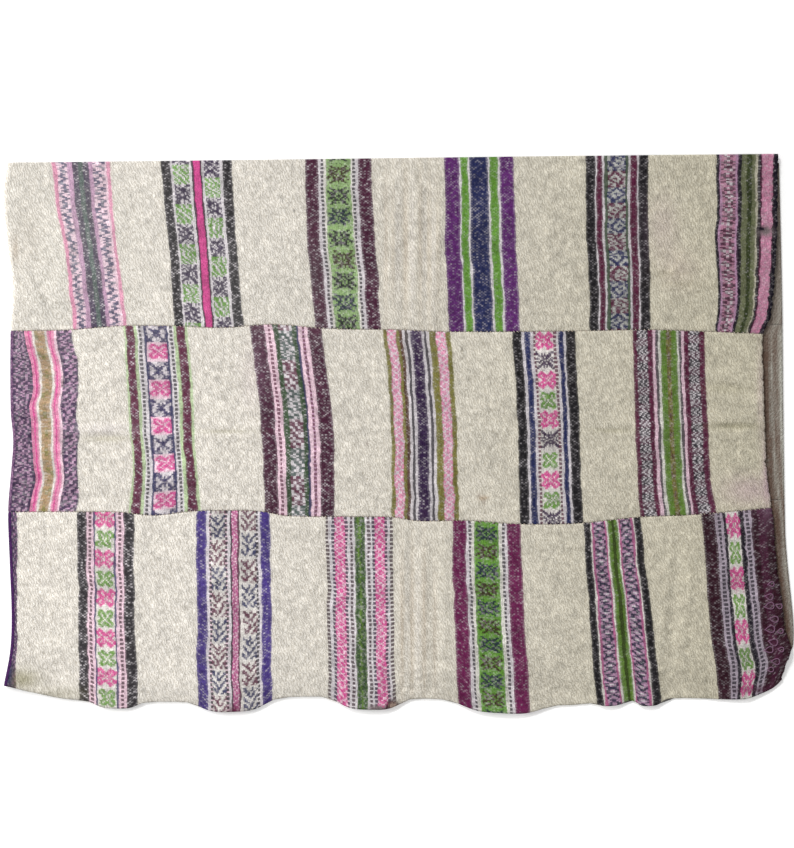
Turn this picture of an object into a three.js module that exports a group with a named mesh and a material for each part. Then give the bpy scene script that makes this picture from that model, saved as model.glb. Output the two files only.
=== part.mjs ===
// A banded wool rug: three narrow woven panels sewn edge to edge, folded once and lying flat.
// Millimetres, +Z up. X runs along the panels and Y across them. The origin is on the surface
// that the rug lies on, under the middle of the rug. The fold is at the low X end, and the cut
// ends of the panels are at the high X end, where the lower layer shows past the upper one.
import * as THREE from "three";

// The cloth and its fold
const CLOTH = 3.5; // thickness of the woven cloth
const LAYER_GAP = 2.5; // air between the two layers
const FOLD_RADIUS = 5.5; // to the middle of the cloth, where it turns over
const FOLD_SETTLES = 70; // length over which the bulge of the fold sinks to the lower layer
const PANEL_GAP = 0.3; // between the edges of two panels
const FLOOR_LIFT = 0.4; // clearance of the upper layer where it droops to the surface
const LOWER_MID = CLOTH / 2;
const UPPER_MID = CLOTH + LAYER_GAP + CLOTH / 2;

// Steps of the section along the cloth
const LOWER_STEPS = 9;
const FOLD_STEPS = 7;
const UPPER_STEPS = 56;

// Edges that run along the panels, from the fold to the cut ends. x is along the rug, y across it.
const TOP_EDGE = [
  { x: -790, y: 543 },
  { x: -300, y: 548.5 },
  { x: 300, y: 556 },
  { x: 790, y: 561 },
];
const UPPER_SEAM = [
  { x: -773, y: 207 },
  { x: -657, y: 209 },
  { x: -551, y: 217 },
  { x: -453, y: 217 },
  { x: -353, y: 213 },
  { x: -253, y: 220 },
  { x: -135, y: 211 },
  { x: 3, y: 209 },
  { x: 103, y: 205 },
  { x: 383, y: 207 },
  { x: 509, y: 209 },
  { x: 727, y: 201 },
];
const LOWER_SEAM = [
  { x: -777, y: -155 },
  { x: -560, y: -155 },
  { x: -490, y: -162 },
  { x: -405, y: -153 },
  { x: -280, y: -153 },
  { x: -220, y: -163 },
  { x: -15, y: -165 },
  { x: 40, y: -173 },
  { x: 137, y: -172 },
  { x: 243, y: -179 },
  { x: 353, y: -178 },
  { x: 483, y: -165 },
  { x: 583, y: -161 },
  { x: 739, y: -147 },
];
const HEM_LINE = [
  { x: -787, y: -501 },
  { x: -741, y: -513 },
  { x: -650, y: -530 },
  { x: -453, y: -534 },
  { x: -300, y: -531 },
  { x: -200, y: -524 },
  { x: 30, y: -527 },
  { x: 330, y: -541 },
  { x: 400, y: -536 },
  { x: 560, y: -527 },
  { x: 690, y: -529 },
  { x: 722, y: -519 },
  { x: 752, y: -504 },
  { x: 775, y: -480 },
];

// The woven bands of the near panel are longer than the plain cloth between them. Each hangs
// lower by its drop and ripples up by its height. half is half the width of the band.
const HEM_BANDS = [
  { x: -564, half: 46, drop: 14, height: 4 },
  { x: -332, half: 70, drop: 22, height: 5 },
  { x: -58, half: 66, drop: 25, height: 7 },
  { x: 206, half: 84, drop: 21, height: 7 },
  { x: 424, half: 26, drop: 8, height: 5 },
  { x: 502, half: 26, drop: 13, height: 5 },
  { x: 690, half: 50, drop: 0, height: 4 },
];
const RIPPLE_REACH = 55; // a ripple falls to a third this far in from the hem

// Edges that run across the panels: the turn of the fold, and the cut ends of the two layers.
const FOLD_EDGE = [
  { y: -505, x: -789 },
  { y: -431, x: -776 },
  { y: -361, x: -773 },
  { y: -251, x: -777 },
  { y: -151, x: -780 },
  { y: -61, x: -773 },
  { y: -11, x: -770 },
  { y: 49, x: -775 },
  { y: 219, x: -775 },
  { y: 289, x: -771 },
  { y: 397, x: -783 },
  { y: 479, x: -789 },
  { y: 543, x: -781 },
];
const UPPER_END = [
  { y: -500, x: 766 },
  { y: -470, x: 780 },
  { y: -445, x: 783 },
  { y: -410, x: 773 },
  { y: -331, x: 765 },
  { y: -271, x: 757 },
  { y: -159, x: 748 },
  { y: -93, x: 738 },
  { y: -11, x: 733 },
  { y: 179, x: 728 },
  { y: 205, x: 730 },
  { y: 235, x: 744 },
  { y: 369, x: 755 },
  { y: 549, x: 759 },
];
const LOWER_END = [
  { y: -441, x: 781 },
  { y: -420, x: 789 },
  { y: -371, x: 789 },
  { y: -291, x: 781 },
  { y: -251, x: 777 },
  { y: -191, x: 773 },
  { y: 69, x: 769 },
  { y: 269, x: 767 },
  { y: 543, x: 761 },
];

// Storage creases that run along the rug. They stand up as soft ridges.
const CREASES = [
  { x: -780, y: 4, height: 3.6, width: 13 },
  { x: -500, y: -2, height: 3.2, width: 13 },
  { x: 0, y: 6, height: 2.2, width: 15 },
  { x: 400, y: 14, height: 2, width: 15 },
  { x: 780, y: 16, height: 3.2, width: 13 },
];

// Softer relief and the way the upper layer falls past the lower one's edge
const PILLOW = 1.4; // rise of a panel between its seams
const SWELL = 1.5; // height of the long swells
const SWELL_ALONG = 55; // a sixth of their length along the rug
const SWELL_ACROSS = 43; // a sixth of their length across it
const SWELL_SLANT = 240; // how slowly they shift sideways along the rug
const DROOP_START = 5; // the upper layer clears the lower one's edge by this before it droops
const DROOP_LENGTH = 62;

// A smooth curve through a table's rows, read at one column and giving another.
function curve(rows, key, at, value) {
  const last = rows.length - 1;
  let i = 0;
  while (i < last - 1 && at > rows[i + 1][key]) i += 1;
  const slope = (k) => {
    const a = rows[Math.max(k - 1, 0)];
    const b = rows[Math.min(k + 1, last)];
    return (b[value] - a[value]) / (b[key] - a[key]);
  };
  const span = rows[i + 1][key] - rows[i][key];
  const t = THREE.MathUtils.clamp((at - rows[i][key]) / span, 0, 1);
  const t2 = t * t;
  const t3 = t2 * t;
  return (
    (2 * t3 - 3 * t2 + 1) * rows[i][value] +
    (t3 - 2 * t2 + t) * span * slope(i) +
    (3 * t2 - 2 * t3) * rows[i + 1][value] +
    (t3 - t2) * span * slope(i + 1)
  );
}

const { lerp, smoothstep } = THREE.MathUtils;
const bell = (distance, width) => Math.exp(-((distance / width) ** 2));
const tongue = (distance, width) => Math.exp(-((distance / width) ** 4));

// The long edges as heights y over x.
const topEdge = (x) => curve(TOP_EDGE, "x", x, "y");
const upperSeam = (x) => curve(UPPER_SEAM, "x", x, "y");
const lowerSeam = (x) => curve(LOWER_SEAM, "x", x, "y");
const hem = (x) =>
  HEM_BANDS.reduce(
    (y, band) => y - band.drop * tongue(x - band.x, band.half),
    curve(HEM_LINE, "x", x, "y"),
  );

// The panels from the far edge to the hem, each between two long edges. end gives the y of those
// edges where the lower layer ends, and gap how far each keeps back from its neighbour.
const PANELS = [
  {
    node: "panel_far",
    from: topEdge,
    to: upperSeam,
    end: { from: 543, to: 219 },
    gap: { from: 0, to: PANEL_GAP / 2 },
    rows: [0, 0.05, 0.18, 0.34, 0.5, 0.66, 0.82, 0.95, 1],
  },
  {
    node: "panel_middle",
    from: upperSeam,
    to: lowerSeam,
    end: { from: 219, to: -131 },
    gap: { from: -PANEL_GAP / 2, to: PANEL_GAP / 2 },
    rows: [0, 0.06, 0.25, 0.42, 0.51, 0.55, 0.59, 0.67, 0.82, 0.94, 1],
  },
  {
    node: "panel_near",
    from: lowerSeam,
    to: hem,
    end: { from: -131, to: -441 },
    gap: { from: -PANEL_GAP / 2, to: 0 },
    rows: [0, 0.05, 0.2, 0.4, 0.6, 0.75, 0.84, 0.92, 0.97, 1],
  },
];

// A point of the upper layer seen from above. s runs from the fold to the cut end, v across.
function upperPlan(panel, s, v) {
  const across = (x) => lerp(panel.from(x), panel.to(x), v);
  const guess = across(lerp(-775, 750, s));
  const x = lerp(
    curve(FOLD_EDGE, "y", guess, "x") + FOLD_RADIUS + CLOTH / 2,
    curve(UPPER_END, "y", guess, "x"),
    s,
  );
  return { x, y: across(x) + lerp(panel.gap.from, panel.gap.to, v) };
}

// A point of the lower layer seen from above. s runs from the fold to the cut end.
function lowerPlan(panel, s, v) {
  const start = upperPlan(panel, 0, v);
  const endY = lerp(
    panel.end.from + panel.gap.from,
    panel.end.to + panel.gap.to,
    v,
  );
  const y = lerp(start.y, endY, s);
  return { x: lerp(start.x, curve(LOWER_END, "y", y, "x"), s), y };
}

// The edge of the lower layer on the hem's side.
function lowerHem(x) {
  const nearPanel = PANELS[PANELS.length - 1];
  const start = upperPlan(nearPanel, 0, 1);
  return lerp(start.y, nearPanel.end.to, (x - start.x) / (LOWER_END[0].x - start.x));
}

// The relief of the upper layer above its resting height.
function relief(panel, x, y, v) {
  const crease = bell(
    y - curve(CREASES, "x", x, "y"),
    curve(CREASES, "x", x, "width"),
  );
  const swell =
    1 + Math.sin(x / SWELL_ALONG) * Math.cos(y / SWELL_ACROSS + x / SWELL_SLANT);
  const ripple = HEM_BANDS.reduce(
    (sum, band) => sum + band.height * bell(x - band.x, band.half),
    0,
  );
  const fromHem = Math.max(y - hem(x), 0);
  return (
    curve(CREASES, "x", x, "height") * crease +
    PILLOW * Math.sqrt(Math.sin(Math.PI * v) + 1e-6) +
    SWELL * swell * Math.sin(Math.PI * v) +
    ripple * Math.exp(-fromHem / RIPPLE_REACH)
  );
}

// Height of the middle of the cloth in the upper layer.
function upperHeight(panel, x, y, v, foldX) {
  const droop = smoothstep(lowerHem(x) - y, DROOP_START, DROOP_START + DROOP_LENGTH);
  const rest = lerp(UPPER_MID, LOWER_MID + FLOOR_LIFT, droop);
  const foldTop = LOWER_MID + 2 * FOLD_RADIUS;
  const settled = smoothstep(x - foldX, 0, FOLD_SETTLES);
  return lerp(foldTop, rest + relief(panel, x, y, v), settled);
}

// The middle line of the cloth at one row across a panel: lower layer, fold, upper layer.
function sectionLine(panel, v) {
  const line = [];
  const turn = upperPlan(panel, 0, v);
  for (let i = LOWER_STEPS; i > 0; i -= 1) {
    const p = lowerPlan(panel, i / LOWER_STEPS, v);
    line.push(new THREE.Vector3(p.x, p.y, LOWER_MID));
  }
  for (let i = 0; i <= FOLD_STEPS; i += 1) {
    const angle = (Math.PI * i) / FOLD_STEPS;
    line.push(
      new THREE.Vector3(
        turn.x - FOLD_RADIUS * Math.sin(angle),
        turn.y,
        LOWER_MID + FOLD_RADIUS * (1 - Math.cos(angle)),
      ),
    );
  }
  for (let i = 1; i <= UPPER_STEPS; i += 1) {
    const p = upperPlan(panel, i / UPPER_STEPS, v);
    line.push(new THREE.Vector3(p.x, p.y, upperHeight(panel, p.x, p.y, v, turn.x)));
  }
  return line;
}

// The line moved by half the thickness to each side, in the plane that stands along the rug.
function offsetLine(line, distance) {
  return line.map((p, i) => {
    const a = line[Math.max(i - 1, 0)];
    const b = line[Math.min(i + 1, line.length - 1)];
    const length = Math.hypot(b.x - a.x, b.z - a.z);
    return new THREE.Vector3(
      p.x - ((b.z - a.z) / length) * distance,
      p.y,
      p.z + ((b.x - a.x) / length) * distance,
    );
  });
}

// A closed sheet from its section lines: outside, inside, the two long edges and the two ends.
function sheetGeometry(lines) {
  const count = lines[0].length;
  const ring = 2 * count;
  const positions = [];
  lines.forEach((line) => {
    const inside = offsetLine(line, -CLOTH / 2);
    const outside = offsetLine(line, CLOTH / 2).reverse();
    [...inside, ...outside].forEach((p) => positions.push(p.x, p.y, p.z));
  });
  const index = [];
  const quad = (a, b, c, d) => index.push(a, b, c, a, c, d);
  for (let j = 0; j < lines.length - 1; j += 1) {
    for (let i = 0; i < ring; i += 1) {
      const next = (i + 1) % ring;
      quad(j * ring + i, j * ring + next, (j + 1) * ring + next, (j + 1) * ring + i);
    }
  }
  const last = (lines.length - 1) * ring;
  for (let i = 0; i < count - 1; i += 1) {
    quad(i, ring - 1 - i, ring - 2 - i, i + 1);
    quad(last + i, last + i + 1, last + ring - 2 - i, last + ring - 1 - i);
  }
  const geometry = new THREE.BufferGeometry();
  geometry.setAttribute("position", new THREE.Float32BufferAttribute(positions, 3));
  geometry.setIndex(index);
  geometry.computeVertexNormals();
  return geometry;
}

const wool = new THREE.MeshStandardMaterial({ color: 0xcdc6b8, roughness: 0.95, metalness: 0 });

const rug = new THREE.Group();
PANELS.forEach((panel) => {
  const mesh = new THREE.Mesh(
    sheetGeometry(panel.rows.map((v) => sectionLine(panel, v))),
    wool,
  );
  mesh.name = panel.node;
  rug.add(mesh);
});

// The origin goes under the middle of the whole rug.
const middle = new THREE.Box3().setFromObject(rug).getCenter(new THREE.Vector3());
rug.position.set(-middle.x, -middle.y, 0);

export default rug;
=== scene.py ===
"""A banded wool rug of three sewn panels, folded once and seen from straight above."""
import math
from collections import namedtuple

import bpy
import numpy as np
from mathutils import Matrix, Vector


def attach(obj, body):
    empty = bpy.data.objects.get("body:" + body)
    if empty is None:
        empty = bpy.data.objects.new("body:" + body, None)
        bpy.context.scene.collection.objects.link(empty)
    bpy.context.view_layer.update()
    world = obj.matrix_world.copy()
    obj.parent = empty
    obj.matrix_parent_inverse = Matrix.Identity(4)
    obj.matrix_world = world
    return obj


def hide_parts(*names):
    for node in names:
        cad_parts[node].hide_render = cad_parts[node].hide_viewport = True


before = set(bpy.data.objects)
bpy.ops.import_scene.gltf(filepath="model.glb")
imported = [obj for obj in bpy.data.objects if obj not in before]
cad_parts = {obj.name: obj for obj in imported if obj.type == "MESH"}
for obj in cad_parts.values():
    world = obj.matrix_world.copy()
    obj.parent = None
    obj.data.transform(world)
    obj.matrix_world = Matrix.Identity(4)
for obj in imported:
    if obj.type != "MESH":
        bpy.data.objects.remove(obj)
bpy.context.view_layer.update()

bl_info = {
    "name": "Banded wool rug",
    "version": (1, 0, 0),
    "blender": (4, 5, 0),
    "location": "View3D > Sidebar > Rug",
    "description": "Weaves, sews and folds a banded wool rug",
    "category": "Add Mesh",
}

MM = 0.001


def linear(sheet_hex):
    """A colour written as sRGB hex, as the linear values that Blender works in."""
    parts = [int(sheet_hex[i : i + 2], 16) / 255 for i in (1, 3, 5)]
    return [p / 12.92 if p <= 0.04045 else ((p + 0.055) / 1.055) ** 2.4 for p in parts]


def plain(name):
    """A name as the panel shows it."""
    return name.replace("_", " ").capitalize()


def yarn(name, sheet_hex, description):
    return bpy.props.FloatVectorProperty(
        name=plain(name),
        description=description,
        subtype="COLOR",
        size=3,
        min=0.0,
        max=1.0,
        default=linear(sheet_hex),
    )


def length(name, millimetres, description):
    return bpy.props.FloatProperty(
        name=plain(name),
        description=description,
        default=millimetres * MM,
        min=0.0,
        unit="LENGTH",
        precision=4,
    )


# Each yarn's sRGB colour and what it is.
YARNS = {
    # The ground runs from cream at the fold to dun at the cut end; dun is darker partly as
    # painted shade for light that falls off towards the cut end, and partly a warmer tone.
    "cream": ("#D1CDC7", "Undyed wool of the ground, bleached by the light"),
    "dun": ("#B8B3A1", "The same wool where it has kept its natural tone"),
    "white": ("#CFC9CC", "Thin lines between the bands"),
    "blush": ("#E0C2CE", "Pale pink"),
    "rose": ("#CC82A0", "Mid pink"),
    "hot_pink": ("#C54587", "Strong pink"),
    "mauve": ("#B08AA6", "Greyed violet pink"),
    "charcoal": ("#1E1C1F", "Near black"),
    "ink": ("#17121E", "Blackish violet of the dotted lines"),
    "plum": ("#431B31", "Dark red violet"),
    "maroon": ("#561F39", "Dark wine red"),
    "violet": ("#562563", "Strong violet"),
    "deep_purple": ("#2E1B3E", "Dark blue violet"),
    "blue_violet": ("#3F2F73", "Indigo violet"),
    "navy": ("#232952", "Dark blue"),
    "green": ("#5E8C35", "Leaf green"),
    "bottle": ("#34492F", "Dark green"),
    "pale_green": ("#A9BC93", "Washed green"),
    "teal": ("#3F504C", "Greyed green blue"),
    "olive": ("#74703A", "Brownish green"),
    "tan": ("#A28563", "Olive brown"),
    "moss": ("#5C7A33", "Dull green"),
    "sage": ("#86A36A", "Soft green"),
    "orchid": ("#A4527E", "Dull pink"),
    "pearl": ("#AEA2AE", "Pale violet grey"),
    "khaki": ("#686C50", "Grey green"),
    "dark_moss": ("#343D1F", "Darkest green"),
    "dusty_rose": ("#B57D96", "Greyed pink"),
    "night": ("#1B2238", "Blue black"),
    "umber": ("#38281D", "Darkest brown"),
    "putty": ("#948075", "Pinkish brown grey"),
    "ash": ("#75686A", "Grey with a little violet"),
    "heather": ("#8C6484", "Dull violet pink"),
    "mulberry": ("#651F4A", "Strong red violet"),
    "wine": ("#31121F", "Blackish red"),
    "brown": ("#543A30", "Red brown"),
    # On the end that sticks out, fog is soil and also painted shade of the lower layer, darker
    # than the ground.
    "fog": ("#AFB0AA", "Soiled grey of the end that sticks out"),
}


class RugYarns(bpy.types.PropertyGroup):
    __annotations__ = {name: yarn(name, *facts) for name, facts in YARNS.items()}


# Each length in millimetres and what it is.
SIZES = {
    "cloth": (3.5, "Thickness of the woven cloth"),
    "layer_gap": (2.5, "Air between the two layers"),
    "fold_radius": (5.5, "Turn of the fold, to the middle of the cloth"),
    "pick": (2.75, "One row of the chart across a panel"),
    "sett": (3.6, "One column of the chart in a plain band"),
    "ground_step": (4.4, "Mesh column in the cream ground"),
    "stitch": (9.0, "Distance between two stitches of a seam"),
    "thread": (1.3, "Thickness of the sewing wool"),
    "loop_yarn": (2.1, "Thickness of the pulled weft"),
}


class RugSizes(bpy.types.PropertyGroup):
    __annotations__ = {name: length(name, *facts) for name, facts in SIZES.items()}


# Long edges of the panels and the edges that run across them, in millimetres from the
# middle of the cloth as it was drawn. CENTRE moves that middle onto the frame's origin.
CENTRE = (-0.64, -1.37)
TOP_EDGE = ((-790, 543), (-300, 548.5), (300, 556), (790, 561))
UPPER_SEAM = (
    (-773, 207), (-657, 209), (-551, 217), (-453, 217), (-353, 213), (-253, 220),
    (-135, 211), (3, 209), (103, 205), (383, 207), (509, 209), (727, 201),
)
LOWER_SEAM = (
    (-777, -155), (-560, -155), (-490, -162), (-405, -153), (-280, -153), (-220, -163),
    (-15, -165), (40, -173), (137, -172), (243, -179), (353, -178), (483, -165),
    (583, -161), (739, -147),
)
HEM_LINE = (
    (-787, -501), (-741, -513), (-650, -530), (-453, -534), (-300, -531), (-200, -524),
    (30, -527), (330, -541), (400, -536), (560, -527), (690, -529), (722, -519),
    (752, -504), (775, -480),
)
HemBand = namedtuple("HemBand", "x half drop height")
HEM_BANDS = [HemBand(*row) for row in (
    (-564, 46, 14, 4), (-332, 70, 22, 5), (-58, 66, 25, 7), (206, 84, 21, 7), (424, 26, 8, 5),
    (502, 26, 13, 5), (690, 50, 0, 4),
)]
FOLD_EDGE = (
    (-505, -789), (-431, -776), (-361, -773), (-251, -777), (-151, -780), (-61, -773),
    (-11, -770), (49, -775), (219, -775), (289, -771), (397, -783), (479, -789), (543, -781),
)
UPPER_END = (
    (-500, 766), (-470, 780), (-445, 783), (-410, 773), (-331, 765), (-271, 757),
    (-159, 748), (-93, 738), (-11, 733), (179, 728), (205, 730), (235, 744), (369, 755),
    (549, 759),
)
LOWER_END = (
    (-441, 781), (-420, 789), (-371, 789), (-291, 781), (-251, 777), (-191, 773), (69, 769),
    (269, 767), (543, 761),
)
CREASE_LINE = ((-780, 4), (-500, -2), (0, 6), (400, 14), (780, 16))
CREASE_HEIGHT = ((-780, 3.6), (-500, 3.2), (0, 2.2), (400, 2), (780, 3.2))
CREASE_WIDTH = ((-780, 13), (-500, 13), (0, 15), (400, 15), (780, 13))
# Rough x of the fold and of the cut end, where the edges of a panel are looked up.
NEAR_FOLD, NEAR_END = -775, 750
# How far past the fold the cloth settles, how it droops past the lower layer's edge and how
# far the hem's ripples reach.
FOLD_SETTLES = 70
FLOOR_LIFT, DROOP_START, DROOP_LENGTH = 0.4, 5, 62
RIPPLE_REACH = 55
# Heights of the rise between the seams, of wide swells and of small rumples, and their waves.
PILLOW, SWELL, RUMPLE = 1.4, 1.5, 0.8
SWELL_ALONG, SWELL_ACROSS, SWELL_SLANT = 55, 43, 240
RUMPLE_ALONG, RUMPLE_ACROSS, RUMPLE_SLANT = 19, 23, 61
RUMPLE_BEND, RUMPLE_BEND_ACROSS = 1.7, 27

# Single wrinkles: the middle, the direction in degrees, half length, half width and height.
Wrinkle = namedtuple("Wrinkle", "x y turn long wide high")
WRINKLES = [Wrinkle(*row) for row in (
    (-745, 330, -66, 90, 9, 2.6), (-720, 300, -62, 80, 9, -2.0), (-735, 250, -50, 60, 9, 2.4),
    (-690, 235, -35, 70, 9, 2.0), (-10, 380, 88, 140, 8, 2.0), (12, 390, 90, 120, 7, -1.6),
    (34, 370, 87, 140, 8, 2.2), (56, 380, 90, 120, 7, -1.8), (76, 360, 86, 150, 8, 2.0),
    (6, -330, 88, 130, 8, 1.8), (28, -340, 90, 140, 7, -1.6), (48, -330, 88, 130, 8, 2.0),
    (72, -350, 92, 130, 8, -1.6), (90, -330, 90, 110, 8, 1.8), (530, -350, 84, 140, 8, 2.0),
    (552, -330, 86, 140, 7, -1.8), (580, -340, 84, 140, 8, 2.0), (300, 400, 88, 120, 9, 1.5),
    (655, 94, -12, 60, 9, -4.0), (640, 72, -8, 60, 8, 1.8), (-590, -4, 0, 50, 7, -4.2),
    (-600, 14, 2, 60, 8, 2.0), (-340, 6, -2, 60, 7, -2.4), (-60, -2, 3, 50, 8, -1.6),
    (425, 10, 0, 44, 7, -2.4), (668, 14, 2, 60, 8, -4.6), (665, 34, 2, 60, 9, 2.4),
    (-350, -120, -3, 110, 10, -1.6), (-600, -128, 0, 60, 10, -1.6),
    (-690, -468, -32, 80, 12, -2.6), (-660, -440, -30, 90, 12, 1.6),
    (620, 300, -60, 70, 10, -1.8), (560, 330, 70, 90, 12, 1.6),
)]


def curve(rows, at):
    """A smooth curve through a table of two columns, as an array over at."""
    xs, ys = np.array(rows, float).T
    slopes = np.empty_like(ys)
    slopes[1:-1] = (ys[2:] - ys[:-2]) / (xs[2:] - xs[:-2])
    slopes[0] = (ys[1] - ys[0]) / (xs[1] - xs[0])
    slopes[-1] = (ys[-1] - ys[-2]) / (xs[-1] - xs[-2])
    at = np.asarray(at, float)
    i = np.clip(np.searchsorted(xs, at, side="right") - 1, 0, len(xs) - 2)
    span = xs[i + 1] - xs[i]
    t = np.clip((at - xs[i]) / span, 0, 1)
    return (
        (2 * t**3 - 3 * t**2 + 1) * ys[i]
        + (t**3 - 2 * t**2 + t) * span * slopes[i]
        + (3 * t**2 - 2 * t**3) * ys[i + 1]
        + (t**3 - t**2) * span * slopes[i + 1]
    )


def bell(distance, width):
    """A soft bump of height 1."""
    return np.exp(-((distance / width) ** 2))


def mix(a, b, share):
    """From a at share 0 to b at share 1."""
    return a + (b - a) * share


def dye(yarns, name):
    """A yarn's colour as an array."""
    return np.array(getattr(yarns, name))


def smooth(value, start, end):
    """0 up to the start and 1 from the end on, with a soft step between them."""
    t = np.clip((value - start) / (end - start), 0, 1)
    return t * t * (3 - 2 * t)


def hem(x):
    """The long near edge, which each woven band lets out a little."""
    y = curve(HEM_LINE, x)
    for band in HEM_BANDS:
        y = y - band.drop * np.exp(-(((x - band.x) / band.half) ** 4))
    return y


# The woven bands, from a weaver's notes. Widths and heights are in millimetres.
Stripe = namedtuple("Stripe", "kind yarns figures width height start")
Band = namedtuple("Band", "left right stripes")


def charted(left, right, notes):
    """A band of a panel: x of its two edges at even steps from the panel's far edge to its
    near edge, and its stripes from the fold side to the cut end. 'plum 25' is 25 mm of one
    dyed yarn, with the pale warp showing through as specks, and '-white 5' is a thin plain
    line. 'ink/white 5' is dots of ink on white: two picks of the dot, then one of the
    ground. A figured stripe has its ground, its width, the height of a figure, where the
    first one starts, and the figures, each as chart:yarn or chart:yarn/ground."""
    stripes = []
    for note in notes.split(", "):
        yarns, width, *rest = note.split()
        kind = "line" if yarns[0] == "-" else "dotted" if "/" in yarns else "solid"
        if rest:
            kind = "figured"
        height, start, *figures = rest or (0, 0)
        sizes = float(width), float(height), float(start)
        stripes.append(Stripe(kind, yarns.strip("-"), figures, *sizes))
    return Band(left, right, stripes)


def mirrored(*rows):
    """A chart whose second half is its first one upside down."""
    return (*rows, *rows[-2::-1])


# Each chart is stretched to the height of its figure. The letter o is a half tone, where
# both yarns show, and w is a white float.
CHARTS = {
    "leaf": (
        "xx.xx..xxxx", "xxx.xx..xxx", ".xxx.xx..xx", "x.xxx.xxx.x", "xx..xx.xxx.",
        "xxx..xx.xxx", ".xxx..xx.xx", "x.xxx..xx.x", "xx.xxx..xx.", "xxx.xxx..xx",
        ".xxx.xxx.xx", "x.xxx.xxx.x", ".x.xx..xx..",
    ),
    "strokes": mirrored(
        "xx..x.x..xx", "xxx..x..xxx", ".xxxx.xxxx.", "x.xxxxxxx.x", "xx.xxxxx.xx",
        ".xxxx.xxxx.", "xxxx.x.xxxx",
    ),
    "cross": (
        *mirrored(
            "xx.........xx", "xxx..x.x..xxx", ".xxx.x.x.xxx.", "..xxxxxxxxx..",
            ".x.xxx.xxx.x.", "xxx.xxxxx.xxx", "..xxx.x.xxx..",
        ),
        ".............",
    ),
    "flower": mirrored(
        ".............", "..xxx...xxx..", ".xxxxx.xxxxx.", ".xx.xxxxx.xx.", ".xxx.xxx.xxx.",
        "..xxx.x.xxx..", "...xxx.xxx...",
    ),
    "bloom": (
        *mirrored(
            "..xx.....xx..", ".xxxx...xxxx.", "xxxxxx.xxxxxx", "xx.xxxxxxx.xx",
            "xxx.xxxxx.xxx", ".xxxx.x.xxxx.", "..xxxx.xxxx..",
        ),
        ".............",
    ),
    "lattice": (
        "xx.......xx", "xxx..o..xxx", "x.xx.x.xx.x", "x..xxxxx..x", "xo..xxx..ox", "x..xxxxx..x",
        "x.xx.x.xx.x", "xxx..o..xxx", "xxxx...xxxx",
    ),
    "hook": mirrored(
        "...............", "..xx.......xx..", "...xxx.x.xxx...", ".x..xxxxxxx..x.",
        ".xxx.xx.xx.xxx.", "..xxxx.x.xxxx..", "...xx.xxx.xx...",
    ),
    "swirl": (
        "x.xx.", "xx.xx", ".xx.x", "x.xx.", "xx.xx", ".xx.x", "..xx.", "xx.xx", ".x..x", "x.xx.",
        "xx.x.",
    ),
    "branch": (
        "x...x...x", "xx.xx..xx", ".xxx..xx.", "..xx.xx..", "x..xxx..x", "xx..x..xx",
        ".xx...xx.", "..xx.xx..", "x..xxx..x", "xx.xx..xx", ".xxx..xxx", "..x..xx.x",
        ".........",
    ),
    "nest": (
        *mirrored(
            "xx..xxx..xx", "x..xxxxx..x", "..xxx.xxx..", ".xxx...xxx.", "xxx..x..xxx",
            "xx..xxx..xx",
        ),
        "xxx.xxx.xxx",
    ),
    "flame": (
        "xx.xxx.x", "x.xx.xxx", "xxx.xx.x", ".xx.xx.x", "xx.xx.xx", "xxx.x.xx", "x.xxxx.x",
    ),
    "tile": ("xx.xxx.x", "x..xx..x", "xxxx.xxx", "xxx..xxx"),
    "flake": ("..x...", ".....x", "x.....", "...xo.", ".x....", "....ox"),
    "cord": ("x.ww.x", "xx..xx", ".xxxx.", "..xx..", ".xxxx.", "xx..xx"),
    "net": ("xx.xx.x", "x.xx.xx", ".xx.xx.", "xx.xx.x", "xxx.xx.", "x.xx.xx"),
    "twist": ("x....x", ".x..x.", "..xx..", ".x..x."),
    "zigzag": ("xx..", ".xx.", "..xx", ".xx."),
    "chain": ("xw.wx", ".xwx.", "..x..", ".xwx."),
    "tooth": ("xx.xx", ".xxx.", "x.w.x", ".xxx."),
    "teeth": ("xxo.oxx", "oxx.xxo"),
    "smear": (".o.", ".x.", "oxo", ".x.", "..o", "...", ".o.", "o.."),
}

FAR_BANDS = (
    charted(
        (-693, -683, -667, -657, -649), (-577, -571, -563, -552, -543),
        "-rose 7, blush 20 13.2 0 zigzag:navy, mauve 9, deep_purple 11, teal 9, "
        "deep_purple 10, -mauve 7, blush 22 13.2 8 zigzag:navy, -blush 4, -rose 6",
    ),
    charted(
        (-475, -467, -459, -453, -447), (-333, -329, -323, -316, -309),
        "charcoal 17, -white 4, white 30 41 8 leaf:green strokes:deep_purple, -white 5, "
        "-ink 3, hot_pink 13, -ink 3, -white 4, "
        "white 29 41 -6 strokes:deep_purple leaf:green, -white 5, charcoal 18",
    ),
    charted(
        (-187, -185, -181, -174, -167), (-55, -51, -46, -40, -35),
        "plum 25, -white 5, ink/white 5, -cream 4, "
        "sage 49 43 10 hook:umber hook:ink hook:night hook:ink, -cream 3, ink/white 5, "
        "-white 6, plum 26",
    ),
    charted(
        (91, 92, 94, 97, 101), (229, 232, 235, 240, 243),
        "violet 30, -white 3, green 14, -white 4, navy 36, -white 4, green 16, -white 4, "
        "violet 28",
    ),
    charted(
        (373, 374, 376, 381, 383), (499, 499, 500, 503, 503),
        "charcoal 18, -white 3, maroon 11, -white 4, -bottle 6, "
        "fog 35 31 0 nest:navy nest:maroon, -bottle 5, -white 4, maroon 13, -white 3, "
        "charcoal 19",
    ),
    charted(
        (635, 636, 632, 638, 633), (765, 753, 747, 745, 731),
        "ink 6, -mauve 4, dusty_rose 28 13.2 0 chain:plum tooth:plum, -mauve 4, ink 8, "
        "khaki 11, dark_moss 9, khaki 8, -dun 4, ink 5, -plum 3, "
        "dusty_rose 21 18 0 flake:rose, ink 10",
    ),
)
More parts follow.
